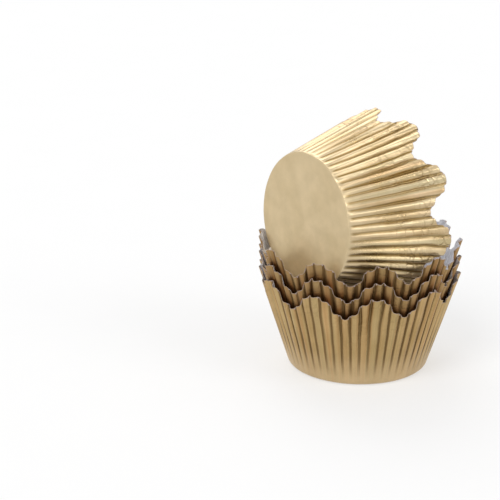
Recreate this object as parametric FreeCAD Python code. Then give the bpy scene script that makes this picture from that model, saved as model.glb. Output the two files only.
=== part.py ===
import FreeCAD, Part
import os
from math import acos, atan, atan2, ceil, cos, hypot, pi, radians, sin, sqrt, tan

# Stack of pleated cupcake liners: three nested upright and a fourth tipped on its side in their mouth.
# Every liner is one round sheet of foil paper with petals cut round its rim. Its middle stays flat as
# the base, and the ring outside the base is pleated and stands up as the wall.
# Origin: middle of the lowest base, on the surface the stack stands on. +Z up.

# Millimetres and degrees.
SIZES = (
    ("base_radius", 25.4, "middle of the base to its folded edge"),
    ("blank_radius", 63.5, "middle of the flat sheet to the tip of a petal"),
    ("petal_depth", 8.0, "tip of a petal to the bottom of a notch, on the flat sheet"),
    ("petal_arc_radius", 13.5, "rounding of a petal's end, on the flat sheet"),
    ("petal_count", 10, "petals round the rim"),
    ("pleats_per_petal", 6, "pleats across one petal"),
    ("wall_lean_angle", 18.0, "angle of the pleat crowns from upright"),
    ("valley_width", 0.7, "flat bottom of a valley at the height of a petal's tip"),
    ("paper_thickness", 0.12, "foil and paper together"),
    ("nest_clearance", 0.15, "free gap between a crown and the valleys round it, at the rim"),
    ("nest_turn_angle", 1.2, "turn of each nested liner against the one below"),
    ("stack_turn_angle", 24.6, "turn of the lowest liner about the upright axis"),
    ("seat_clearance", 0.2, "free gap between the tipped liner and what it leans on"),
    ("tipped_heading_angle", 36.2, "direction in which the tipped mouth faces, from +X"),
    ("tipped_dip_angle", 1.5, "slope of the tipped liner's axis, mouth down"),
    ("tipped_roll_angle", 23.3, "turn of the tipped liner about its own axis"),
    ("tipped_setback", 26.2, "tipped base to the upright axis, along the heading"),
    ("tipped_offset", 0.7, "tipped base to the upright axis, to the right of the heading"),
)

doc = FreeCAD.newDocument("cupcake_liners")
sheet = doc.addObject("Spreadsheet::Sheet", "sizes")
for row, (alias, value, meaning) in enumerate(SIZES, start=1):
    sheet.set(f"A{row}", meaning)
    sheet.set(f"B{row}", str(value))
    sheet.setAlias(f"B{row}", alias)
doc.recompute()


def size(alias):
    return float(sheet.get(alias))


base_radius = size("base_radius")
blank_radius = size("blank_radius")
paper = size("paper_thickness")
lean = radians(size("wall_lean_angle"))
petal_count = round(size("petal_count"))
pleats_per_petal = round(size("pleats_per_petal"))
pleat_count = petal_count * pleats_per_petal
half_pleat = pi / pleat_count
half_petal = pi / petal_count
wall_length = blank_radius - base_radius

# The flat sheet: each petal ends in an arc, and an arc tangent to two petals rounds the notch between.
petal_arc = size("petal_arc_radius")
petal_centre = blank_radius - petal_arc
notch_radius = blank_radius - size("petal_depth")
petal_reach = petal_centre * cos(half_petal)
notch_arc = (petal_arc**2 - petal_centre**2 - notch_radius**2 + 2 * notch_radius * petal_reach) / (
    2 * (notch_radius - petal_reach - petal_arc)
)
notch_centre = notch_radius + notch_arc


def arc_join():
    """Angle from a petal's middle line to the point where its arc meets the notch's arc."""
    share = petal_arc / (petal_arc + notch_arc)
    along = petal_centre + share * (notch_centre * cos(half_petal) - petal_centre)
    across = share * notch_centre * sin(half_petal)
    return atan2(across, along)


JOIN = arc_join()
HALVINGS = 40


def sheet_edge(angle):
    """Radius of the flat sheet's cut edge, at an angle from the middle line of a petal."""
    turn = abs((angle + half_petal) % (2 * half_petal) - half_petal)
    if turn < JOIN:
        across = petal_centre * sin(turn)
        return petal_centre * cos(turn) + sqrt(petal_arc**2 - across**2)
    turn = half_petal - turn
    across = notch_centre * sin(turn)
    return notch_centre * cos(turn) - sqrt(notch_arc**2 - across**2)


# A pleat's crown is a strip as wide as one side of the base polygon. The paper left over between two
# crowns is a wedge that starts in a point at the corner of the base, and folds inwards as two flanks
# and a valley floor. Its fold lines are found by keeping the angles that the flat sheet has there.
valley_half = atan(size("valley_width") / 2 / wall_length)
flank_angle = half_pleat - valley_half


def valley_lean():
    """Angle of the valley floor from upright, which keeps the flank as wide as on the flat sheet."""
    crown_out = cos(half_pleat) * sin(lean)
    crown_up = cos(lean)
    across = sin(valley_half) * sin(half_pleat) * sin(lean)
    cosine = (cos(flank_angle) - across) / (cos(valley_half) * hypot(crown_out, crown_up))
    return atan2(crown_out, crown_up) - acos(cosine)


valley = valley_lean()

# Fold lines at a corner of the base, as directions outwards, across and up, with their flat angles.
FOLDS = (
    (-half_pleat, (cos(half_pleat) * sin(lean), -sin(half_pleat) * sin(lean), cos(lean))),
    (-valley_half, (cos(valley_half) * sin(valley), -sin(valley_half), cos(valley_half) * cos(valley))),
    (valley_half, (cos(valley_half) * sin(valley), sin(valley_half), cos(valley_half) * cos(valley))),
    (half_pleat, (cos(half_pleat) * sin(lean), sin(half_pleat) * sin(lean), cos(lean))),
)


def fold_length(corner_angle, flat_angle):
    """Length of a fold line from the base's corner to the cut edge, measured on the flat sheet."""
    low, high = 0.0, wall_length
    for _ in range(HALVINGS):
        middle = (low + high) / 2
        along = base_radius + middle * cos(flat_angle)
        across = middle * sin(flat_angle)
        if hypot(along, across) < sheet_edge(corner_angle + atan2(across, along)):
            low = middle
        else:
            high = middle
    return low


def turned(angle, outwards, across, up):
    """Point or direction given in the frame of a corner, turned to the corner's own angle."""
    return FreeCAD.Vector(
        outwards * cos(angle) - across * sin(angle),
        outwards * sin(angle) + across * cos(angle),
        up,
    )


def facet(*corners):
    return Part.Face(Part.makePolygon([*corners, corners[0]]))


def strip(near, far):
    """Triangles that join two lines of points of the same length."""
    faces = []
    for i in range(len(near) - 1):
        faces.append(facet(near[i], near[i + 1], far[i + 1]))
        faces.append(facet(near[i], far[i + 1], far[i]))
    return faces


def fold_corners():
    """Corners of the base in order, each with its angle, its point and its fold lines' directions."""
    corners = []
    for k in range(pleat_count):
        angle = (2 * k + 1) * half_pleat
        lines = [turned(angle, *direction) for flat_angle, direction in FOLDS]
        corners.append((angle, turned(angle, base_radius, 0, 0), lines))
    return corners


def fold_lengths(angle):
    return [fold_length(angle, flat_angle) for flat_angle, direction in FOLDS]


def liner_shape():
    """One liner as a closed thin solid: base underneath at height 0, mouth upwards."""
    inner_radius = base_radius - paper * (1 - sin(lean)) / (cos(lean) * cos(half_pleat))
    crown_in = (-cos(lean), 0, sin(lean))
    base = []
    floor = []
    rim = []
    rim_inside = []
    for angle, corner, lines in fold_corners():
        base.append(corner)
        floor.append(turned(angle, inner_radius, 0, paper))
        # Normals into the hollow: crown, flank, valley floor, flank, crown.
        normals = [turned(angle - half_pleat, *crown_in)]
        normals += [before.cross(after).normalize() for before, after in zip(lines, lines[1:])]
        normals.append(turned(angle + half_pleat, *crown_in))
        for i, length in enumerate(fold_lengths(angle)):
            end = corner + lines[i] * length
            mitre = (normals[i] + normals[i + 1]) / (1 + normals[i].dot(normals[i + 1]))
            rim.append(end)
            rim_inside.append(end + mitre * paper)
    faces = [facet(*base), facet(*floor)]
    fan_size = len(FOLDS)
    for ring, edge in ((base, rim), (floor, rim_inside)):
        for k in range(pleat_count):
            after = (k + 1) % pleat_count
            fan = edge[fan_size * k:fan_size * (k + 1)]
            faces += [facet(ring[k], left, right) for left, right in zip(fan, fan[1:])]
            faces.append(facet(ring[k], fan[-1], edge[fan_size * after], ring[after]))
    faces += strip(rim + rim[:1], rim_inside + rim_inside[:1])
    shell = Part.makeShell(faces)
    shell.sewShape()
    return Part.makeSolid(shell)


LINER = liner_shape()


def add_liner(label, placement):
    node = doc.addObject("Part::Feature", label)
    node.Label = label
    node.Shape = LINER
    node.Placement = placement
    return node


# The inside of a valley, at the rim, is what the crowns of the next liner come down on.
rim_height = wall_length * cos(lean)
valley_rim = rim_height * tan(valley) - paper / cos(valley)
nest_step = rim_height - (valley_rim - size("nest_clearance")) / tan(lean)
UPRIGHT = FreeCAD.Vector(0, 0, 1)


def nest_placement(level):
    turn = size("stack_turn_angle") + level * size("nest_turn_angle")
    return FreeCAD.Placement(UPRIGHT * level * nest_step, FreeCAD.Rotation(UPRIGHT, turn))


NEST = ("liner_bottom", "liner_middle", "liner_top")
nest = [add_liner(label, nest_placement(level)) for level, label in enumerate(NEST)]

# The tipped liner lies in the mouth of the nest, its petals between and inside the nest's petals.
HEADING = FreeCAD.Rotation(UPRIGHT, size("tipped_heading_angle"))
ON_SIDE = FreeCAD.Rotation(FreeCAD.Vector(0, 1, 0), 90 + size("tipped_dip_angle"))
ROLL = FreeCAD.Rotation(UPRIGHT, size("tipped_roll_angle"))
SETBACK = FreeCAD.Vector(-size("tipped_setback"), -size("tipped_offset"), 0)
SAMPLE_STEP = 0.7
LIFT_STEP = 0.5
LIFT_TOLERANCE = 0.01
gap = size("seat_clearance") + paper


def tipped_placement(height):
    position = HEADING.multVec(SETBACK) + UPRIGHT * height
    return FreeCAD.Placement(position, HEADING.multiply(ON_SIDE).multiply(ROLL))


def samples(start, end):
    """Points from one end of a line to the other, the first left out."""
    count = ceil((end - start).Length / SAMPLE_STEP)
    return [start + (end - start) * (i / count) for i in range(1, count + 1)]


def fold_points():
    """Points down every fold line of a liner and along its cut edge, in the liner's own frame."""
    points = []
    edge = []
    for angle, corner, lines in fold_corners():
        for line, length in zip(lines, fold_lengths(angle)):
            edge.append(corner + line * length)
            points += samples(corner, edge[-1])
    for start, end in zip(edge, edge[1:] + edge[:1]):
        points += samples(start, end)
    return points


def wall_radius(angle, height):
    """Radius of the wall's outer side at an angle and a height in the liner's own frame."""
    turn = abs(angle % (2 * half_pleat) - half_pleat)
    valley_out = base_radius + height * tan(valley)
    valley_side = height * tan(valley_half) / cos(valley)
    crown_out = base_radius + height * cos(half_pleat) * tan(lean)
    crown_side = height * sin(half_pleat) * tan(lean)
    if turn * valley_out <= valley_side:
        return valley_out
    if turn * crown_out >= crown_side:
        return (base_radius * cos(half_pleat) + height * tan(lean)) / cos(half_pleat - turn)
    out = crown_out - valley_out
    side = crown_side - valley_side
    return (valley_out * side - valley_side * out) / (cos(turn) * side - sin(turn) * out)


def near_paper(point):
    """Whether a point in a liner's own frame lies in its paper, or nearer to it than the gap."""
    if not -gap < point.z < rim_height + gap:
        return False
    radius = hypot(point.x, point.y)
    if point.z < paper + gap and radius < base_radius + gap:
        return True
    height = max(point.z, 0)
    if radius > base_radius + height * tan(lean) + gap / cos(lean):
        return False
    if radius < base_radius + height * tan(valley) - (gap + paper) / cos(valley):
        return False
    angle = atan2(point.y, point.x)
    if point.z > (sheet_edge(angle) - base_radius) * cos(lean) + gap:
        return False
    reach = gap / radius
    around = [wall_radius(angle + side, height) for side in (-reach, 0, reach)]
    return min(around) - paper - gap < radius < max(around) + gap


def seat_height():
    """Lowest height of the tipped base's middle at which the tipped liner clears the nest."""
    own = fold_points()
    placements = [nest_placement(level) for level in range(len(NEST))]
    backs = [placement.inverse() for placement in placements]
    nest_points = [placement.multVec(point) for placement in placements for point in own]
    nest_height = placements[-1].Base.z + rim_height + gap

    def clear(height):
        placement = tipped_placement(height)
        back = placement.inverse()
        if any(near_paper(back.multVec(point)) for point in nest_points):
            return False
        low = [point for point in map(placement.multVec, own) if point.z < nest_height]
        return not any(near_paper(back.multVec(point)) for back in backs for point in low)

    free = placements[-1].Base.z + base_radius
    while not clear(free):
        free += LIFT_STEP
    caught = free - LIFT_STEP
    while free - caught > LIFT_TOLERANCE:
        middle = (free + caught) / 2
        if clear(middle):
            free = middle
        else:
            caught = middle
    return free


tipped = add_liner("liner_tipped", tipped_placement(seat_height()))
doc.recompute()
for item in doc.Objects:
    if "Invalid" in item.State or "Error" in item.State:
        raise RuntimeError(f"{item.Label} failed")
for node in (*nest, tipped):
    if node.Shape.isNull() or not node.Shape.isValid():
        raise RuntimeError(f"{node.Label} has no valid shape")

os.makedirs("parts", exist_ok=True)
for node in (*nest, tipped):
    node.Shape.exportStep(f"parts/{node.Label}.step")
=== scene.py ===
from math import atan2, cos, pi, radians, sin
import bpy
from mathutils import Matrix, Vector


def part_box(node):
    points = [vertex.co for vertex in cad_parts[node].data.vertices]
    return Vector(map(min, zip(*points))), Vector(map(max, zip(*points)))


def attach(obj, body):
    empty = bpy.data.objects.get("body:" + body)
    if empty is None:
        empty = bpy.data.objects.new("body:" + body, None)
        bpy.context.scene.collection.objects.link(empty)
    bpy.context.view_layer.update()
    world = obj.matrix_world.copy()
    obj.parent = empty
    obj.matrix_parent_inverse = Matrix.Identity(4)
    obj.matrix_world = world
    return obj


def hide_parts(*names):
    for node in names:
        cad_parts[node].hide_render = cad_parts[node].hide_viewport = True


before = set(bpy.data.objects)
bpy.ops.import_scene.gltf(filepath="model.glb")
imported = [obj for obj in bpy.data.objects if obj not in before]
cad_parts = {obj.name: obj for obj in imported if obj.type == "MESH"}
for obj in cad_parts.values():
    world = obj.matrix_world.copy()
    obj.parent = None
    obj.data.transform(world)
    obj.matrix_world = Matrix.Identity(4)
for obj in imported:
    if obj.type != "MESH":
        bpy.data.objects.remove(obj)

from types import SimpleNamespace

import bpy
from mathutils import Matrix, Vector

# Three gold foil cupcake liners nested upright, and a fourth tipped on its side in their mouth.
# Lengths are in metres and angles in radians, but the lamps' are in degrees. The origin is the middle
# of the lowest base.

MM = 0.001
NEST = ("liner_bottom", "liner_middle", "liner_top")
TIPPED = "liner_tipped"

# The flat sheet that a liner is folded from.
BASE_RADIUS = 25.4 * MM
BLANK_RADIUS = 63.5 * MM
PETAL_COUNT = 10
PETAL_DEPTH = 8 * MM
PETAL_ARC = 13.5 * MM
PLEATS_PER_PETAL = 6
PAPER = 0.13 * MM

# The folded wall.
WALL_LEAN = radians(18)
PLEAT_DEPTH = 1.8 * MM

# Turns of the liners about the upright axis, and how the tipped one lies.
STACK_TURN = radians(24.6)
NEST_TURN = radians(1.2)
TIPPED_HEADING = radians(35.5)
TIPPED_DIP = radians(2.5)
TIPPED_ROLL = radians(22.6)
TIPPED_SETTLE = Vector((0.4, 0.2, -0.7)) * MM

PLEAT_COUNT = PETAL_COUNT * PLEATS_PER_PETAL
HALF_PLEAT = pi / PLEAT_COUNT
HALF_PETAL = pi / PETAL_COUNT
RIM_HEIGHT = (BLANK_RADIUS - BASE_RADIUS) * cos(WALL_LEAN)

# Each petal ends in an arc, and a second arc, tangent to two petals, rounds the notch between them.
PETAL_CENTRE = BLANK_RADIUS - PETAL_ARC
NOTCH_RADIUS = BLANK_RADIUS - PETAL_DEPTH
PETAL_REACH = PETAL_CENTRE * cos(HALF_PETAL)
NOTCH_ARC = (PETAL_ARC**2 - PETAL_CENTRE**2 - NOTCH_RADIUS**2 + 2 * NOTCH_RADIUS * PETAL_REACH) / (
    2 * (NOTCH_RADIUS - PETAL_REACH - PETAL_ARC)
)
NOTCH_CENTRE = NOTCH_RADIUS + NOTCH_ARC


def arc_join():
    """Angle from a petal's middle line to the point where its arc meets the notch's arc."""
    share = PETAL_ARC / (PETAL_ARC + NOTCH_ARC)
    along = PETAL_CENTRE + share * (NOTCH_CENTRE * cos(HALF_PETAL) - PETAL_CENTRE)
    across = share * NOTCH_CENTRE * sin(HALF_PETAL)
    return atan2(across, along)


# Node trees

class Field:
    """A number that a node tree reads at every point. Sums with it add Math nodes to the tree."""

    def __init__(self, tree, socket):
        self.tree = tree
        self.socket = socket

    def with_node(self, operation, *others):
        node = self.tree.nodes.new("ShaderNodeMath")
        node.operation = operation
        for slot, value in zip(node.inputs, (self, *others)):
            feed(self.tree, value, slot)
        return Field(self.tree, node.outputs[0])

    def __add__(self, other):
        return self.with_node("ADD", other)

    def __sub__(self, other):
        return self.with_node("SUBTRACT", other)

    def __mul__(self, other):
        return self.with_node("MULTIPLY", other)

    def __truediv__(self, other):
        return self.with_node("DIVIDE", other)

    def __pow__(self, other):
        return self.with_node("POWER", other)

    def __mod__(self, other):
        return self.with_node("FLOORED_MODULO", other)

    def __abs__(self):
        return self.with_node("ABSOLUTE")

    __radd__ = __add__
    __rmul__ = __mul__


def feed(tree, value, socket):
    """Links a field or a socket to a node's input, or writes a plain value in it."""
    if isinstance(value, Field):
        tree.links.new(value.socket, socket)
    elif isinstance(value, bpy.types.NodeSocket):
        tree.links.new(value, socket)
    else:
        socket.default_value = value


def add(tree, kind, settings=None, **values):
    """Adds a node. Its inputs are named as Blender names them, with _ for a space."""
    node = tree.nodes.new(kind)
    for name, setting in (settings or {}).items():
        setattr(node, name, setting)
    for name, value in values.items():
        wanted = name.replace("_", " ")
        socket = next(s for s in node.inputs if s.name == wanted and s.enabled)
        feed(tree, value, socket)
    return node


def given_out(node):
    """The output of a node that shows only one of several."""
    return next(s for s in node.outputs if s.enabled)


def between(share, low, high):
    """low where the share is 0 and high where it is 1."""
    return share * (high - low) + low


def rest_of(share):
    """1 where the share is 0 and 0 where it is 1."""
    return share * -1 + 1


def clamped(share):
    """The share, kept between 0 and 1."""
    return share.with_node("MAXIMUM", 0).with_node("MINIMUM", 1)


def point_at(tree, x, y, z):
    """A vector socket from three fields, sockets or numbers."""
    vector = add(tree, "ShaderNodeCombineXYZ", X=x, Y=y, Z=z)
    return vector.outputs["Vector"]


def ramp(tree, value, span, ends=(0.0, 1.0), kind="SMOOTHSTEP"):
    """Goes from one end to the other while the value crosses the span."""
    node = add(tree, "ShaderNodeMapRange", {"interpolation_type": kind}, Value=value,
               From_Min=span[0], From_Max=span[1], To_Min=ends[0], To_Max=ends[1])
    return Field(tree, node.outputs[0])


def noise(tree, place, scale, detail=2.0, **more):
    """Cloudy noise from 0 to 1 at a place."""
    node = add(tree, "ShaderNodeTexNoise", Vector=place, Scale=scale, Detail=detail, **more)
    return Field(tree, node.outputs[0])


def soft_spots(tree, place, scale, detail=2.0):
    """Noise from -1 to 1 at a place."""
    return noise(tree, place, scale, detail) * 2 - 1


def interface(tree, inputs, outputs):
    """Gives a tree its named inputs and outputs, and returns the nodes that stand for them."""
    kinds = {"float": "NodeSocketFloat", "int": "NodeSocketInt", "vector": "NodeSocketVector",
             "colour": "NodeSocketColor", "material": "NodeSocketMaterial",
             "geometry": "NodeSocketGeometry"}
    for name, kind in outputs:
        tree.interface.new_socket(name=name, in_out="OUTPUT", socket_type=kinds[kind])
    for name, kind in inputs:
        tree.interface.new_socket(name=name, in_out="INPUT", socket_type=kinds[kind])
    return tree.nodes.new("NodeGroupInput"), tree.nodes.new("NodeGroupOutput")


# The pleated liner

# Crown Rounding, Unevenness, Pressed Flat and Opened Rim are shares from 0 to 1.
LINER_INPUTS = (
    ("Base Radius", "float"), ("Wall Lean", "float"), ("Base Rounding", "float"), ("Pleats", "int"),
    ("Columns per Pleat", "int"), ("Rows", "int"), ("Pleat Depth", "float"), ("Pleat Start", "float"),
    ("Pleat Swell", "float"), ("Crown Rounding", "float"), ("Unevenness", "float"), ("Sway", "float"),
    ("Pressed Flat", "float"), ("Opened Rim", "float"), ("Turn", "float"), ("Level", "float"),
    ("Seed", "int"), ("Foil", "material"),
)

# Half a pleat is a valley floor, a flank and a crown. Their ends are shares of half a pleat, once
# folded and once on the flat sheet, where the flank takes most of the paper.
FOLD_PARTS = 3
FOLD_SOFTNESS = 0.2
FLOOR_SHARE = 0.1
FLANK_SHARE_BASE = 0.6
FLANK_SHARE_RIM = 0.36
FLAT_FLOOR = 0.08
FLAT_FLANK = 0.84

# How far one fold may differ from the next: turns are shares of half a pleat.
VALLEY_SHIFT = 0.4
CROWN_SHIFT = 0.25
WEAVE_TURN = 0.6
SHALLOW_VALLEY = 0.45
CROWN_TILT = 0.35 * MM
CROWN_DENT = 0.15 * MM
VALLEY_CUT = 0.3 * MM
CROWN_CUT = 0.5 * MM

# Each kind of difference draws with its own seed, counted on from the liner's, so those lie ten apart.
DRAWS = {"valley cut": 1, "crown cut": 2, "valley shift": 3, "crown shift": 4, "valley depth": 5,
         "crown tilt": 6, "crown dent": 7}
SEED_STEP = 10

# Slow changes over the wall. The flat patches are read on a circle of radius 1.
OPENED_HEIGHT = 12 * MM
SWAY_SCALE = 45.0
WEAVE_SCALE = 90.0
WEAVE_SPACING = 3.7
FLAT_PATCH_SCALE = 1.1
FLAT_PATCH_GAIN = 2.5

# The grid: a flat ring joins it to the middle of the base, and its rows crowd towards the base.
BASE_RING = 1 * MM
ROW_CROWDING = 1.5
WELD = 0.004 * MM

# The tipped liner reads its sway a metre above the nest's, so it sways in its own way.
FAR_FROM_NEST = 1.0

LINER_SIZES = {
    "Base Radius": BASE_RADIUS * cos(HALF_PLEAT),
    "Wall Lean": WALL_LEAN,
    "Pleats": PLEAT_COUNT,
    "Columns per Pleat": 16,
    "Rows": 26,
    "Pleat Depth": PLEAT_DEPTH,
    "Crown Rounding": 0.3,
    "Unevenness": 1.0,
}
NEST_LOOK = {
    "Base Rounding": 1.5 * MM,
    "Pleat Start": 0.6 * MM,
    "Pleat Swell": 1.1,
    "Sway": 0.4 * MM,
    "Pressed Flat": 0.0,
    "Opened Rim": 0.0,
}
TIPPED_LOOK = {
    "Base Radius": 24.8 * MM,
    "Base Rounding": 0.5 * MM,
    "Pleat Start": 0.2 * MM,
    "Pleat Swell": 0.5,
    "Sway": 0.3 * MM,
    "Pressed Flat": 0.6,
    "Opened Rim": 0.55,
    "Turn": 0.0,
    "Level": FAR_FROM_NEST,
    "Seed": 5 * SEED_STEP,
}


def petal_edge(angle):
    """Radius of the flat sheet's cut edge at an angle from the middle line of a petal."""
    turn = abs((angle + HALF_PETAL) % (2 * HALF_PETAL) - HALF_PETAL)
    petal_across = turn.with_node("SINE") * PETAL_CENTRE
    petal = turn.with_node("COSINE") * PETAL_CENTRE
    petal = petal + (petal_across**2 * -1 + PETAL_ARC**2).with_node("SQRT")
    notch_turn = turn * -1 + HALF_PETAL
    notch_across = notch_turn.with_node("SINE") * NOTCH_CENTRE
    notch = notch_turn.with_node("COSINE") * NOTCH_CENTRE
    notch = notch - (notch_across**2 * -1 + NOTCH_ARC**2).with_node("SQRT")
    in_petal = turn.with_node("LESS_THAN", arc_join())
    return in_petal * (petal - notch) + notch


def per_fold(tree, index, seed, kind):
    """A number from 0 to 1 that stays the same down one fold."""
    node = add(tree, "FunctionNodeRandomValue", {"data_type": "FLOAT"}, Min=0.0, Max=1.0, ID=index,
               Seed=Field(tree, seed) + DRAWS[kind])
    return Field(tree, given_out(node))


def share_across(fold, floor_end, flank_end):
    """Share of half a pleat at a column, when the floor and the flank end at the given shares."""
    return fold.floor * floor_end + fold.flank * (flank_end - floor_end) + fold.crown * rest_of(flank_end)


def fold_across(around, pleats):
    """Where a column lies in its pleat, which runs from one crown's middle to the next.

    Floor, flank and crown each go from 0 to 1 while the column passes them, from the valley outwards.
    """
    fold = SimpleNamespace()
    fold.valley_index = around.with_node("FLOOR").with_node("MINIMUM", pleats - 1)
    fold.crown_index = (around + 0.5).with_node("FLOOR") % pleats
    from_valley = around - fold.valley_index - 0.5
    fold.side = from_valley.with_node("SIGN")
    steps = abs(from_valley) * (2 * FOLD_PARTS)
    fold.floor = steps.with_node("SMOOTH_MIN", 1, FOLD_SOFTNESS)
    flank = (steps - 1).with_node("SMOOTH_MIN", 1, FOLD_SOFTNESS)
    fold.flank = flank.with_node("SMOOTH_MAX", 0, FOLD_SOFTNESS)
    fold.crown = (steps - 2).with_node("SMOOTH_MAX", 0, FOLD_SOFTNESS)
    fold.half_pleat = (pleats**-1) * pi
    fold.valley_angle = (fold.valley_index + 0.5) * fold.half_pleat * 2
    flat_share = share_across(fold, FLAT_FLOOR, FLAT_FLANK)
    fold.flat_angle = fold.valley_angle + fold.side * fold.half_pleat * flat_share
    return fold


def wall_length(tree, fold, value, seed):
    """Length of the column from the base's edge to the cut edge, on the flat sheet."""
    valley_drop = per_fold(tree, fold.valley_index, seed, "valley cut") * VALLEY_CUT
    crown_drop = per_fold(tree, fold.crown_index, seed, "crown cut") * CROWN_CUT
    drop = between(fold.flank, valley_drop, crown_drop) * value["Unevenness"]
    return petal_edge(fold.flat_angle) - value["Base Radius"] - drop


def run_up(wall, upwards, value):
    """Down the column: flat base, rounded corner and straight wall, with no pleat yet."""
    base_radius, lean, rounding = value["Base Radius"], value["Wall Lean"], value["Base Rounding"]
    column = SimpleNamespace()
    start = (rounding + BASE_RING) * -1
    column.along = start + (wall - start) * upwards**ROW_CROWDING
    bend = clamped((column.along + rounding) / (rounding * 2))
    column.run = rounding * bend**2 + (column.along - rounding).with_node("MAXIMUM", 0)
    inset = (column.along + rounding).with_node("MINIMUM", 0) - rounding * rest_of(bend) ** 2
    column.reach = column.run * lean.with_node("SINE")
    column.height = column.run * lean.with_node("COSINE")
    column.cone = base_radius + inset + column.reach
    column.rise = (column.height / RIM_HEIGHT).with_node("MINIMUM", 1)
    pleat_rise = (column.height - value["Pleat Start"]).with_node("MAXIMUM", 0) / RIM_HEIGHT
    column.swell = pleat_rise ** value["Pleat Swell"]
    return column


def pleat_depth(tree, fold, column, wall, value, seed):
    """Depth of the valley that the column belongs to, less where the paper has been opened or pressed."""
    uneven = value["Unevenness"]
    shallow = per_fold(tree, fold.valley_index, seed, "valley depth") * uneven * SHALLOW_VALLEY
    near_rim = ramp(tree, wall - column.along, (0.0, OPENED_HEIGHT), (1.0, 0.0))
    opened = rest_of(near_rim * value["Opened Rim"])
    circle = point_at(tree, fold.flat_angle.with_node("COSINE"), fold.flat_angle.with_node("SINE"), seed)
    patches = clamped(soft_spots(tree, circle, FLAT_PATCH_SCALE, 1.0) * FLAT_PATCH_GAIN)
    flattened = rest_of(patches * value["Pressed Flat"])
    return value["Pleat Depth"] * column.swell * rest_of(shallow) * opened * flattened


def pleat_fall(tree, fold, column, depth, value, seed):
    """How far the pleat lets the paper fall inwards from the plain cone."""
    uneven = value["Unevenness"]
    rounded = rest_of(fold.crown) ** 2 * value["Crown Rounding"]
    fall = depth * (rest_of(fold.flank) * rest_of(value["Crown Rounding"]) + rounded)
    tilt = (per_fold(tree, fold.crown_index, seed, "crown tilt") - 0.5) * fold.side * -1 + 0.5
    return fall + tilt * fold.flank * rest_of(fold.crown) * uneven * CROWN_TILT * column.swell


def crown_dent(tree, fold, column, value, seed):
    """How far a crown stands back from its neighbours towards the rim."""
    dent = per_fold(tree, fold.crown_index, seed, "crown dent") * fold.flank * value["Unevenness"]
    return dent * CROWN_DENT * column.rise**2


def column_turn(tree, fold, column, value, seed):
    """Angle of the column about the axis, as its own fold has it and with a slow weave added."""
    uneven, rise = value["Unevenness"], column.rise
    flank_share = between(rise, FLANK_SHARE_BASE, FLANK_SHARE_RIM)
    share = share_across(fold, FLOOR_SHARE, flank_share)
    valley_shift = (per_fold(tree, fold.valley_index, seed, "valley shift") - 0.5) * VALLEY_SHIFT
    crown_shift = (per_fold(tree, fold.crown_index, seed, "crown shift") - 0.5) * CROWN_SHIFT
    shift = between(share, valley_shift, crown_shift) * uneven * rise
    angle = fold.valley_angle + fold.half_pleat * (fold.side * share + shift)
    weave_place = point_at(tree, fold.valley_index * WEAVE_SPACING, column.height * WEAVE_SCALE, seed)
    weave = soft_spots(tree, weave_place, 1.0) * WEAVE_TURN * uneven * rise * rest_of(share)
    return angle, angle + weave * fold.half_pleat


def wall_sway(tree, angle, column, value):
    """Soft waves in and out, read at the place in the stack, so that nested liners sway together."""
    stack_angle = angle + value["Turn"]
    sway_x = column.cone * stack_angle.with_node("COSINE")
    sway_y = column.cone * stack_angle.with_node("SINE")
    place = point_at(tree, sway_x, sway_y, column.height + value["Level"])
    return soft_spots(tree, place, SWAY_SCALE) * value["Sway"] * column.rise**2


def valley_lift(column, fall):
    """A valley leans less than a crown, so the same length of paper stands higher in it."""
    squared_run = column.run * column.run
    lifted = (squared_run - (column.reach - fall) ** 2).with_node("MAXIMUM", 0).with_node("SQRT")
    plain = (squared_run - column.reach * column.reach).with_node("SQRT")
    return (lifted - plain) * column.rise


def store(tree, geometry, name, data_type, value):
    """Keeps a field on the points under a name that the materials read."""
    return add(tree, "GeometryNodeStoreNamedAttribute", {"data_type": data_type, "domain": "POINT"},
               Geometry=geometry.outputs[0], Name=name, Value=value)


def base_disc(tree, columns, radius):
    """The middle of the base, facing down, which closes the wall's first ring."""
    disc = add(tree, "GeometryNodeMeshCircle", {"fill_type": "NGON"}, Vertices=columns - 1, Radius=radius)
    place = tree.nodes.new("GeometryNodeInputPosition").outputs[0]
    disc = add(tree, "GeometryNodeFlipFaces", Mesh=disc.outputs[0])
    disc = store(tree, disc, "edge_distance", "FLOAT", BLANK_RADIUS)
    disc = store(tree, disc, "sheet", "FLOAT_VECTOR", place)
    return add(tree, "GeometryNodeSetShadeSmooth", Geometry=disc.outputs[0], Shade_Smooth=False)


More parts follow.
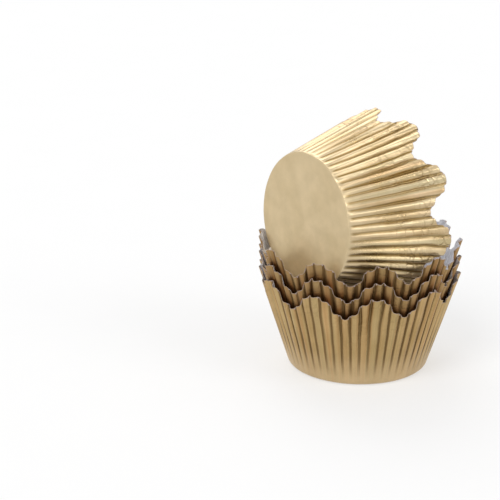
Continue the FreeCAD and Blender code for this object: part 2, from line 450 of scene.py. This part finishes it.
def pleated_liner_tree():
    """Geometry Nodes tree of one liner's foil side: a grid rolled up, pleated and cut to the petals."""
    tree = bpy.data.node_groups.new("pleated liner", "GeometryNodeTree")
    given, result = interface(tree, LINER_INPUTS, (("Liner", "geometry"),))
    value = {name: Field(tree, given.outputs[name]) for name, kind in LINER_INPUTS if kind != "material"}
    base_radius, pleats = value["Base Radius"], value["Pleats"]
    seed = given.outputs["Seed"]

    columns = pleats * value["Columns per Pleat"] + 1
    grid = add(tree, "GeometryNodeMeshGrid", Size_X=1.0, Size_Y=1.0, Vertices_X=columns,
               Vertices_Y=value["Rows"])

    # The grid counts the pleats across, and goes from 0 at the base to 1 at the cut edge.
    grid_place = tree.nodes.new("GeometryNodeInputPosition").outputs[0]
    place = add(tree, "ShaderNodeSeparateXYZ", Vector=grid_place)
    around = (Field(tree, place.outputs["X"]) + 0.5) * pleats
    upwards = Field(tree, place.outputs["Y"]) + 0.5

    fold = fold_across(around, pleats)
    wall = wall_length(tree, fold, value, seed)
    column = run_up(wall, upwards, value)
    depth = pleat_depth(tree, fold, column, wall, value, seed)
    fall = pleat_fall(tree, fold, column, depth, value, seed)
    dent = crown_dent(tree, fold, column, value, seed)
    plain_angle, angle = column_turn(tree, fold, column, value, seed)
    radius = column.cone - fall - dent + wall_sway(tree, plain_angle, column, value)
    position = point_at(tree, radius * angle.with_node("COSINE"), radius * angle.with_node("SINE"),
                        column.height + valley_lift(column, fall))

    # What the finishes read is kept while the grid is still flat.
    sheet_radius = base_radius + column.along
    sheet = point_at(tree, sheet_radius * fold.flat_angle.with_node("COSINE"),
                     sheet_radius * fold.flat_angle.with_node("SINE"), 0.0)
    skin = store(tree, grid, "edge_distance", "FLOAT", wall - column.along)
    skin = store(tree, skin, "fold", "FLOAT", fold.flank)
    skin = store(tree, skin, "rise", "FLOAT", column.rise)
    skin = store(tree, skin, "sheet", "FLOAT_VECTOR", sheet)
    skin = add(tree, "GeometryNodeSetPosition", Geometry=skin.outputs[0], Position=position)

    disc = base_disc(tree, columns, base_radius - value["Base Rounding"] - BASE_RING)
    joined = tree.nodes.new("GeometryNodeJoinGeometry")
    tree.links.new(skin.outputs[0], joined.inputs[0])
    tree.links.new(disc.outputs[0], joined.inputs[0])
    welded = add(tree, "GeometryNodeMergeByDistance", Geometry=joined.outputs[0], Distance=WELD)
    realized = add(tree, "GeometryNodeRealizeInstances", Geometry=welded.outputs[0])
    finished = add(tree, "GeometryNodeSetMaterial", Geometry=realized.outputs[0],
                   Material=given.outputs["Foil"])
    tree.links.new(finished.outputs[0], result.inputs[0])
    return tree


def set_inputs(modifier, values):
    """Writes a modifier's inputs by the identifiers of their sockets."""
    for item in modifier.node_group.interface.items_tree:
        if item.in_out == "INPUT" and item.name in values:
            modifier[item.identifier] = values[item.name]


def plain_mesh(holder, name):
    """The evaluated holder as a mesh of its own, the holder removed."""
    evaluated = holder.evaluated_get(bpy.context.evaluated_depsgraph_get())
    mesh = bpy.data.meshes.new_from_object(evaluated)
    mesh.name = name
    holder.modifiers.clear()
    bpy.data.objects.remove(holder)
    return mesh


def fold_liner(node, tree, materials, placement, look):
    """Folds one liner, puts its paper behind the foil, and stands it for its CAD node."""
    foil, lining, cut_edge = materials
    holder = bpy.data.objects.new(node + "_holder", bpy.data.meshes.new(node + "_holder"))
    bpy.context.scene.collection.objects.link(holder)
    modifier = holder.modifiers.new("pleats", "NODES")
    modifier.node_group = tree
    set_inputs(modifier, LINER_SIZES | look | {"Foil": foil})
    bpy.context.view_layer.update()
    mesh = plain_mesh(holder, node + "_paper")
    mesh.transform(placement)
    mesh.materials.append(lining)
    mesh.materials.append(cut_edge)
    piece = bpy.data.objects.new(node + "_paper", mesh)
    bpy.context.scene.collection.objects.link(piece)

    # The paper grows inwards from the foil, thinner in the tightest folds. The offsets count the
    # materials on from the foil: first the lining, then the cut edge.
    thickness = piece.modifiers.new("paper", "SOLIDIFY")
    thickness.thickness = PAPER
    thickness.offset = -1
    thickness.use_even_offset = True
    thickness.thickness_clamp = 1
    thickness.material_offset = 1
    thickness.material_offset_rim = 2
    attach(piece, "root")
    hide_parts(node)
    return piece


# Finishes

# Colours are linear.
# The colour of the painted shade in the foil's creases.
CREASE_SHADE = (0.25, 0.16, 0.06)
DARK_CUT_PAPER = (0.27, 0.19, 0.11)
CUT_PAPER = (0.5, 0.4, 0.365)
CROWN_CUT_PAPER = (0.38, 0.26, 0.14)
DEEP_PALE_GOLD = (0.59, 0.465, 0.29)
PALE_GOLD = (0.74, 0.585, 0.375)
ROSY_GOLD = (1.0, 0.86, 0.8)
DULL_GRAIN = (0.68, 0.66, 0.6)
# The brown of the painted shade between nested liners.
GAP_SHADE_BROWN = (0.4, 0.25, 0.17)
DARK_LINING = (0.8, 0.79, 0.81)
LIGHT_LINING = (0.9, 0.895, 0.91)
LINING_GROOVE_SHADE = (0.66, 0.65, 0.69)

# What sets one foil apart from another. Fold Width and Pleat Shade say how much of a pleat gets painted
# shade in its folds and over which rise that shade comes in, and Gap Shade lays painted shade, a brown,
# on foil that faces foil.
# All four liners are one foil. The nest's foil is given darker colours as painted shade, and the tipped
# liner's lighter ones as painted light.
SHADED_OUTER_FOIL = {
    "Dark": (0.46, 0.33, 0.145),
    "Light": (0.6, 0.445, 0.22),
    "Painted Fold Shade": (0.12, 0.07, 0.025),
    "Fold Width": 0.9,
    "Pleat Shade": (0.03, 0.36),
    "Roughness": 0.45,
    "Creasing": 0.5,
    "Pale Base": 0.55,
    "Gap Shade": 0.0,
}
SHADED_INNER_FOIL = SHADED_OUTER_FOIL | {"Fold Width": 1.1, "Roughness": 0.5, "Gap Shade": 1.0}
# Lighter colours of the same foil, as painted light.
LIT_TIPPED_FOIL = {
    "Dark": (0.55, 0.44, 0.24),
    "Light": (0.72, 0.61, 0.4),
    "Painted Fold Shade": (0.25, 0.16, 0.05),
    "Fold Width": 0.95,
    "Pleat Shade": (0.0, 0.06),
    "Roughness": 0.3,
    "Creasing": 1.05,
    "Pale Base": 0.55,
    "Gap Shade": 0.0,
}

# Up the wall: the shares of its height at which the matt base and the paleness end, and how fast the
# streaks and creases come in.
MATT_RISE = 0.02
PALE_RISE = 0.45
WALL_GAIN = 30

# Roughnesses. A pair is for the darker and the lighter clouds of the paper.
BASE_ROUGHNESS = 0.55
BARE_PAPER_ADDS = 0.3
CLOUDS_ADD = 0.1
LINING_ROUGHNESS = (0.5, 0.62)
CUT_EDGE_ROUGHNESS = (0.7, 0.8)

# Distances from the cut edge.
GAP_SPAN = (0.5 * MM, 7 * MM)
CREASED_SPAN = (4 * MM, 26 * MM)
CUT_BAND = 0.12 * MM

# On a flank the band of bare paper is wider, most of all at the flank's middle.
CUT_BAND_ON_FLANK = 0.7 * MM
FLANK_MIDDLE = 0.45
FLANK_NARROWING = 2.2

# Shares: of the painted gap shade at the cut edge, of creasing far from it, and of painted shade in a
# crease.
GAP_SHARE_AT_EDGE = 0.35
CREASING_FAR_FROM_EDGE = 0.15
CREASE_SHADE_SHARE = 0.35

# Scales of mottling, in cells per metre of the sheet.
FOIL_CLOUDS = 70.0
BASE_CLOUDS = 170.0
LINING_CLOUDS = 260.0
CUT_CLOUDS = 420.0
CLOUD_DETAIL = 5.0

# Scale and detail of other noise. The first three are read on the sheet, and the last three on a
# circle of radius 1, so that they run along the pleats.
BUCKLES = (140.0, 3.0)
BUCKLE_ROUGHNESS = 0.55
FIBRES = (1500.0, 3.0)
RAGS = (500.0, 3.0)
STREAKS = (38.0, 4.0)
GRAIN = (150.0, 4.0)
PRESS_LINES = (330.0, 3.0)

# A span of noise, of a fold or of a distance, and the shares at its two ends.
CLOUD_SHARES = ((0.3, 0.7), (0.0, 1.0))
PATCH_SHARES = ((0.42, 0.62), (0.0, 1.0))
ROSY_SHARES = ((0.4, 0.65), (0.0, 0.9))
DULL_SHARES = ((0.42, 0.7), (0.0, 0.55))
STREAKY_FOLD = ((0.35, 0.6), (0.6, 1.0))
RAGGED_END = ((0.5, 1.3), (1.0, 0.0))
GROOVE_SHADE_SHARES = ((0.6, 1.0), (0.0, 0.5))
BROWN_CROWN = ((0.75, 1.0), (0.0, 0.8))

# Cells and patches of the creases.
LONG_CREASES = {"Cell_Scale": 330.0, "Patch_Scale": 110.0}
CRACKLE = {"Cell_Scale": 800.0, "Patch_Scale": 150.0}
LINING_CREASES = {"Cell_Scale": 300.0, "Patch_Scale": 90.0, "Amount": 0.6}
CREASE_BEND = 1.2 * MM
CREASE_WIDTH = 0.13
PATCH_DETAIL = 3.0

# Heights of the fine relief.
CREASE_RELIEF = 0.16 * MM
CRACKLE_RELIEF = 0.05 * MM
LINE_RELIEF = 0.045 * MM
BUCKLE_RELIEF = 0.2 * MM
LINING_CREASE_RELIEF = 0.04 * MM
FIBRE_RELIEF = 0.02 * MM


def crease_group():
    """Sharp little creases in pressed foil, broken up so that they come in patches."""
    tree = bpy.data.node_groups.new("foil creases", "ShaderNodeTree")
    inputs = (("Sheet", "vector"), ("Cell Scale", "float"), ("Patch Scale", "float"), ("Amount", "float"))
    given, result = interface(tree, inputs, (("Height", "float"), ("Crease", "float")))
    sheet, cell_scale = given.outputs["Sheet"], given.outputs["Cell Scale"]
    bent = add(tree, "ShaderNodeTexNoise", Vector=sheet, Scale=cell_scale)
    shifted = add(tree, "ShaderNodeVectorMath", {"operation": "MULTIPLY_ADD"})
    tree.links.new(bent.outputs["Color"], shifted.inputs[0])
    shifted.inputs[1].default_value = (CREASE_BEND, CREASE_BEND, 0)
    tree.links.new(sheet, shifted.inputs[2])
    cells = add(tree, "ShaderNodeTexVoronoi", {"feature": "DISTANCE_TO_EDGE"}, Vector=shifted.outputs[0],
                Scale=cell_scale)
    line = ramp(tree, cells.outputs["Distance"], (0.0, CREASE_WIDTH), (1.0, 0.0))
    patches = noise(tree, sheet, given.outputs["Patch Scale"], PATCH_DETAIL)
    patch = ramp(tree, patches, *PATCH_SHARES, "LINEAR")
    crease = line * patch * given.outputs["Amount"]
    feed(tree, crease, result.inputs["Crease"])
    feed(tree, rest_of(crease), result.inputs["Height"])
    return tree


def mottle_group():
    """Soft cloudy change from one colour to another."""
    tree = bpy.data.node_groups.new("mottling", "ShaderNodeTree")
    inputs = (("Place", "vector"), ("Scale", "float"), ("Dark", "colour"), ("Light", "colour"))
    given, result = interface(tree, inputs, (("Color", "colour"), ("Amount", "float")))
    clouds = noise(tree, given.outputs["Place"], given.outputs["Scale"], CLOUD_DETAIL)
    share = ramp(tree, clouds, *CLOUD_SHARES, "LINEAR")
    colour = mix_colour(tree, share, given.outputs["Dark"], given.outputs["Light"])
    tree.links.new(colour, result.inputs["Color"])
    feed(tree, share, result.inputs["Amount"])
    return tree


def cut_group():
    """A ragged band along the cut edge, where the paper shows from under the foil."""
    tree = bpy.data.node_groups.new("cut band", "ShaderNodeTree")
    inputs = (("Sheet", "vector"), ("Edge Distance", "float"), ("Width", "float"))
    given, result = interface(tree, inputs, (("Mask", "float"),))
    ragged = noise(tree, given.outputs["Sheet"], *RAGS)
    width = Field(tree, given.outputs["Width"]) * (ragged * 2)
    share = Field(tree, given.outputs["Edge Distance"]) / width
    feed(tree, ramp(tree, share, *RAGGED_END), result.inputs["Mask"])
    return tree


def new_material(name):
    """A material, its node tree and its Principled shader."""
    material = bpy.data.materials.new(name)
    material.use_nodes = True
    tree = material.node_tree
    shader = next(n for n in tree.nodes if n.type == "BSDF_PRINCIPLED")
    return material, tree, shader


def kept(tree, name):
    """A number that the folding kept on the points."""
    node = add(tree, "ShaderNodeAttribute", {"attribute_name": name})
    return Field(tree, node.outputs["Fac"])


def kept_sheet(tree):
    """The place on the flat sheet that the folding kept on the points."""
    return add(tree, "ShaderNodeAttribute", {"attribute_name": "sheet"}).outputs["Vector"]


def group(tree, group_tree, **values):
    """Adds a shared effect, its inputs named as in add."""
    node = tree.nodes.new("ShaderNodeGroup")
    node.node_tree = group_tree
    for name, value in values.items():
        feed(tree, value, node.inputs[name.replace("_", " ")])
    return node


def mix_colour(tree, share, first, second, blend="MIX"):
    """The first colour where the share is 0, and the second, or their blend, where it is 1."""
    node = add(tree, "ShaderNodeMix", {"data_type": "RGBA", "blend_type": blend}, Factor=share, A=first,
               B=second)
    return given_out(node)


def opaque(colour):
    """The colour as a socket takes it."""
    return (*colour, 1)


def relief(tree, height, shader):
    """Gives a shader fine relief from a height in metres."""
    bump = add(tree, "ShaderNodeBump", Strength=1.0, Distance=1.0, Height=height)
    tree.links.new(bump.outputs[0], shader.inputs["Normal"])


def foil_tone(tree, at, finish, mottling, clouds):
    """Colour of the foil: rosy and dull streaks along the pleats, a paler base, and painted shade in the
    folds and in the gaps.
    """
    streaks = noise(tree, at.pleat_line, *STREAKS)
    rosy = ramp(tree, streaks, *ROSY_SHARES, "LINEAR")
    tone = mix_colour(tree, rosy * at.wall, clouds.outputs["Color"], opaque(ROSY_GOLD), "MULTIPLY")
    dull = ramp(tree, noise(tree, at.pleat_line, *GRAIN), *DULL_SHARES, "LINEAR")
    tone = mix_colour(tree, dull * at.wall, tone, opaque(DULL_GRAIN), "MULTIPLY")
    paler = ramp(tree, at.rise, (0.0, PALE_RISE), (finish["Pale Base"], 0.0))
    pale = group(tree, mottling, Place=at.sheet, Scale=BASE_CLOUDS, Dark=opaque(DEEP_PALE_GOLD),
                 Light=opaque(PALE_GOLD))
    tone = mix_colour(tree, paler, tone, pale.outputs["Color"])
    # Painted shade between nested liners: brown on foil that faces another liner's foil, weaker at the
    # cut edge.
    gap_shades = (finish["Gap Shade"] * GAP_SHARE_AT_EDGE, finish["Gap Shade"])
    painted_gap_shade = ramp(tree, at.edge_distance, GAP_SPAN, gap_shades)
    tone = mix_colour(tree, painted_gap_shade, tone, opaque(GAP_SHADE_BROWN), "MULTIPLY")
    # Painted shade in the pleats' folds, darkest in the valleys and broken up by the streaks.
    painted_fold_shade = ramp(tree, at.fold, (0.0, finish["Fold Width"]), (1.0, 0.0))
    painted_fold_shade = painted_fold_shade * ramp(tree, at.rise, finish["Pleat Shade"])
    painted_fold_shade = painted_fold_shade * ramp(tree, streaks, *STREAKY_FOLD, "LINEAR")
    return mix_colour(tree, painted_fold_shade, tone, opaque(finish["Painted Fold Shade"]))


def gold_foil(name, groups, finish):
    """Gold foil on the outside of a liner: matt on the base, satin and creased towards the petals."""
    material, tree, shader = new_material(name)
    at = SimpleNamespace()
    at.sheet = kept_sheet(tree)
    at.edge_distance = kept(tree, "edge_distance")
    at.fold = kept(tree, "fold")
    at.rise = kept(tree, "rise")
    at.wall = (at.rise * WALL_GAIN).with_node("MINIMUM", 1)
    direction = add(tree, "ShaderNodeVectorMath", {"operation": "NORMALIZE"})
    tree.links.new(at.sheet, direction.inputs[0])
    at.pleat_line = direction.outputs[0]

    clouds = group(tree, groups.mottling, Place=at.sheet, Scale=FOIL_CLOUDS, Dark=opaque(finish["Dark"]),
                   Light=opaque(finish["Light"]))
    tone = foil_tone(tree, at, finish, groups.mottling, clouds)
    near_edge = ramp(tree, at.edge_distance, CREASED_SPAN, (1.0, CREASING_FAR_FROM_EDGE))
    creasing = near_edge * at.wall * finish["Creasing"]
    creased = group(tree, groups.creases, Sheet=at.sheet, Amount=creasing, **LONG_CREASES)
    crackle = group(tree, groups.creases, Sheet=at.sheet, Amount=creasing, **CRACKLE)
    on_flank = rest_of(abs(at.fold - FLANK_MIDDLE) * FLANK_NARROWING).with_node("MAXIMUM", 0)
    band = group(tree, groups.cut_band, Sheet=at.sheet, Edge_Distance=at.edge_distance,
                 Width=on_flank * CUT_BAND_ON_FLANK + CUT_BAND)
    bare = Field(tree, band.outputs["Mask"])
    # Painted shade darkens the foil along its creases.
    crease_shade = Field(tree, creased.outputs["Crease"]) * CREASE_SHADE_SHARE
    colour = mix_colour(tree, bare, mix_colour(tree, crease_shade, tone, opaque(CREASE_SHADE)), opaque(CUT_PAPER))
    tree.links.new(colour, shader.inputs["Base Color"])
    feed(tree, rest_of(bare), shader.inputs["Metallic"])

    satin = ramp(tree, at.rise, (0.0, MATT_RISE), (BASE_ROUGHNESS, finish["Roughness"]))
    spread = (Field(tree, clouds.outputs["Amount"]) - 0.5) * CLOUDS_ADD
    feed(tree, satin + spread + bare * BARE_PAPER_ADDS, shader.inputs["Roughness"])

    # Creases, fine lines that run along the pleats, and a soft buckle in the paper.
    lines = noise(tree, at.pleat_line, *PRESS_LINES)
    buckle = noise(tree, at.sheet, *BUCKLES, Roughness=BUCKLE_ROUGHNESS)
    height = Field(tree, creased.outputs["Height"]) * CREASE_RELIEF
    height = height + Field(tree, crackle.outputs["Height"]) * CRACKLE_RELIEF
    height = height + lines * at.wall * LINE_RELIEF + buckle * BUCKLE_RELIEF
    relief(tree, height, shader)
    return material


def white_lining(groups):
    """Greaseproof paper on the inside, with faint fibre clouds and painted shade in the grooves."""
    material, tree, shader = new_material("white_lining")
    sheet = kept_sheet(tree)
    clouds = group(tree, groups.mottling, Place=sheet, Scale=LINING_CLOUDS, Dark=opaque(DARK_LINING),
                   Light=opaque(LIGHT_LINING))
    # Painted shade in the lining's grooves, behind the foil's crowns, coming in up the wall.
    groove_shade = ramp(tree, kept(tree, "fold"), *GROOVE_SHADE_SHARES) * kept(tree, "rise")
    colour = mix_colour(tree, groove_shade, clouds.outputs["Color"], opaque(LINING_GROOVE_SHADE))
    tree.links.new(colour, shader.inputs["Base Color"])
    cloudiness = Field(tree, clouds.outputs["Amount"])
    feed(tree, between(cloudiness, *LINING_ROUGHNESS), shader.inputs["Roughness"])
    creased = group(tree, groups.creases, Sheet=sheet, **LINING_CREASES)
    height = Field(tree, creased.outputs["Height"]) * LINING_CREASE_RELIEF
    height = height + noise(tree, sheet, *FIBRES) * FIBRE_RELIEF
    relief(tree, height, shader)
    return material


def cut_paper(groups):
    """The cut edge itself: bare paper, pinkish and mottled, and browner on the crowns."""
    material, tree, shader = new_material("cut_paper_edge")
    clouds = group(tree, groups.mottling, Place=kept_sheet(tree), Scale=CUT_CLOUDS,
                   Dark=opaque(DARK_CUT_PAPER), Light=opaque(CUT_PAPER))
    on_crown = ramp(tree, kept(tree, "fold"), *BROWN_CROWN, "LINEAR")
    colour = mix_colour(tree, on_crown, clouds.outputs["Color"], opaque(CROWN_CUT_PAPER))
    tree.links.new(colour, shader.inputs["Base Color"])
    cloudiness = Field(tree, clouds.outputs["Amount"])
    feed(tree, between(cloudiness, *CUT_EDGE_ROUGHNESS), shader.inputs["Roughness"])
    return material


# Stage

TABLE_HALF = 2.0
TABLE_GAP = 0.1 * MM
TABLE_TONE = (0.79, 0.81)
TABLE_GRAIN = 40.0
SEEN_TABLE_SHARE = 0.55
TABLE_GLOW = 0.52
ROOM_LIGHT = 0.6

# Name, azimuth and elevation in degrees, strength, and width in degrees.
LAMPS = (
    ("key_lamp", 235, 50, 1.0, 25),
    ("side_lamp", 330, 35, 0.5, 30),
    ("back_lamp", 105, 48, 0.65, 40),
)

VIEW_PITCH = radians(18.93)
VIEW_DISTANCE = 0.630
VIEW_TARGET = Vector((-0.0397, 0, 0.0424))
LENS = 125
FILM_WIDTH = 36


def seen_by_eye(tree):
    """1 for rays from the camera, in a mirror or through glass, and 0 for light falling on things."""
    path = tree.nodes.new("ShaderNodeLightPath")
    camera_ray = Field(tree, path.outputs["Is Camera Ray"])
    glossy = camera_ray.with_node("MAXIMUM", path.outputs["Is Glossy Ray"])
    return glossy.with_node("MAXIMUM", path.outputs["Is Transmission Ray"])


def white_table():
    """Diffuse floor that adds to what the camera sees just enough light to be white where it is lit."""
    material = bpy.data.materials.new("white_table")
    material.use_nodes = True
    tree = material.node_tree
    tree.nodes.clear()
    place = tree.nodes.new("ShaderNodeTexCoord").outputs["Object"]
    tone = ramp(tree, noise(tree, place, TABLE_GRAIN), (0.0, 1.0), TABLE_TONE, "LINEAR")
    matt = add(tree, "ShaderNodeBsdfDiffuse", Color=tone)
    seen_matt = add(tree, "ShaderNodeBsdfDiffuse", Color=tone * SEEN_TABLE_SHARE)
    glow = add(tree, "ShaderNodeEmission", Strength=TABLE_GLOW)
    lit = tree.nodes.new("ShaderNodeAddShader")
    tree.links.new(seen_matt.outputs[0], lit.inputs[0])
    tree.links.new(glow.outputs[0], lit.inputs[1])
    choice = tree.nodes.new("ShaderNodeMixShader")
    feed(tree, seen_by_eye(tree), choice.inputs[0])
    tree.links.new(matt.outputs[0], choice.inputs[1])
    tree.links.new(lit.outputs[0], choice.inputs[2])
    output = tree.nodes.new("ShaderNodeOutputMaterial")
    tree.links.new(choice.outputs[0], output.inputs["Surface"])
    return material


def white_room():
    """Even light from all round, and plain white where it is looked at."""
    world = bpy.data.worlds.new("white_room")
    bpy.context.scene.world = world
    world.use_nodes = True
    tree = world.node_tree
    tree.nodes.clear()
    strength = between(seen_by_eye(tree), ROOM_LIGHT, 1.0)
    background = add(tree, "ShaderNodeBackground", Color=(1, 1, 1, 1), Strength=strength)
    output = tree.nodes.new("ShaderNodeOutputWorld")
    tree.links.new(background.outputs[0], output.inputs["Surface"])


def soft_lamp(name, azimuth, elevation, strength, width):
    """A far soft lamp. Its azimuth is where it stands, from +X towards +Y."""
    light = bpy.data.lights.new(name, "SUN")
    light.energy = strength
    light.angle = radians(width)
    lamp = bpy.data.objects.new(name, light)
    direction = Vector((cos(radians(azimuth)) * cos(radians(elevation)),
                        sin(radians(azimuth)) * cos(radians(elevation)), sin(radians(elevation))))
    lamp.location = direction
    lamp.rotation_euler = direction.to_track_quat("Z", "Y").to_euler()
    bpy.context.scene.collection.objects.link(lamp)


def stage():
    """The table, the white room and the lamps."""
    mesh = bpy.data.meshes.new("table")
    sides = ((-1, -1), (1, -1), (1, 1), (-1, 1))
    outline = [(x * TABLE_HALF, y * TABLE_HALF, -TABLE_GAP) for x, y in sides]
    mesh.from_pydata(outline, [], [(0, 1, 2, 3)])
    mesh.materials.append(white_table())
    table = bpy.data.objects.new("table", mesh)
    bpy.context.scene.collection.objects.link(table)
    white_room()
    for lamp in LAMPS:
        soft_lamp(*lamp)


def camera():
    """Camera in front of the stack, which stands to the right of the middle of the picture."""
    data = bpy.data.cameras.new("camera")
    data.lens = LENS
    data.sensor_width = FILM_WIDTH
    viewer = bpy.data.objects.new("camera", data)
    back = Vector((0, -cos(VIEW_PITCH), sin(VIEW_PITCH)))
    viewer.location = VIEW_TARGET + back * VIEW_DISTANCE
    viewer.rotation_euler = (pi / 2 - VIEW_PITCH, 0, 0)
    bpy.context.scene.collection.objects.link(viewer)
    bpy.context.scene.camera = viewer


# The stack

def middle(node):
    """Mean of a CAD node's corners."""
    points = [v.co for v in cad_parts[node].data.vertices]
    return sum(points, Vector()) / len(points)


def tipped_placement():
    """Lays the tipped liner on its side where its CAD node lies, settled a little."""
    rotation = (Matrix.Rotation(TIPPED_HEADING, 4, "Z") @ Matrix.Rotation(pi / 2 + TIPPED_DIP, 4, "Y")
                @ Matrix.Rotation(TIPPED_ROLL, 4, "Z"))
    own_height = middle(NEST[0]).z
    base_middle = middle(TIPPED) - rotation.to_3x3() @ Vector((0, 0, own_height)) + TIPPED_SETTLE
    return Matrix.Translation(base_middle) @ rotation


def liners():
    """Folds the four liners at their places in the frame."""
    groups = SimpleNamespace(creases=crease_group(), mottling=mottle_group(), cut_band=cut_group())
    tree = pleated_liner_tree()
    outer_foil = gold_foil("gold_foil_outer", groups, SHADED_OUTER_FOIL)
    inner_foil = gold_foil("gold_foil_inner", groups, SHADED_INNER_FOIL)
    tipped_foil = gold_foil("gold_foil_tipped", groups, LIT_TIPPED_FOIL)
    paper = (white_lining(groups), cut_paper(groups))
    for level, node in enumerate(NEST):
        turn = STACK_TURN + level * NEST_TURN
        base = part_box(node)[0].z
        look = NEST_LOOK | {"Turn": turn, "Level": base, "Seed": level * SEED_STEP}
        placement = Matrix.Translation((0, 0, base)) @ Matrix.Rotation(turn, 4, "Z")
        foil = inner_foil if level else outer_foil
        fold_liner(node, tree, (foil, *paper), placement, look)
    fold_liner(TIPPED, tree, (tipped_foil, *paper), tipped_placement(), TIPPED_LOOK)


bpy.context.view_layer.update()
liners()
stage()
camera()
bpy.context.scene.view_settings.view_transform = "Standard"
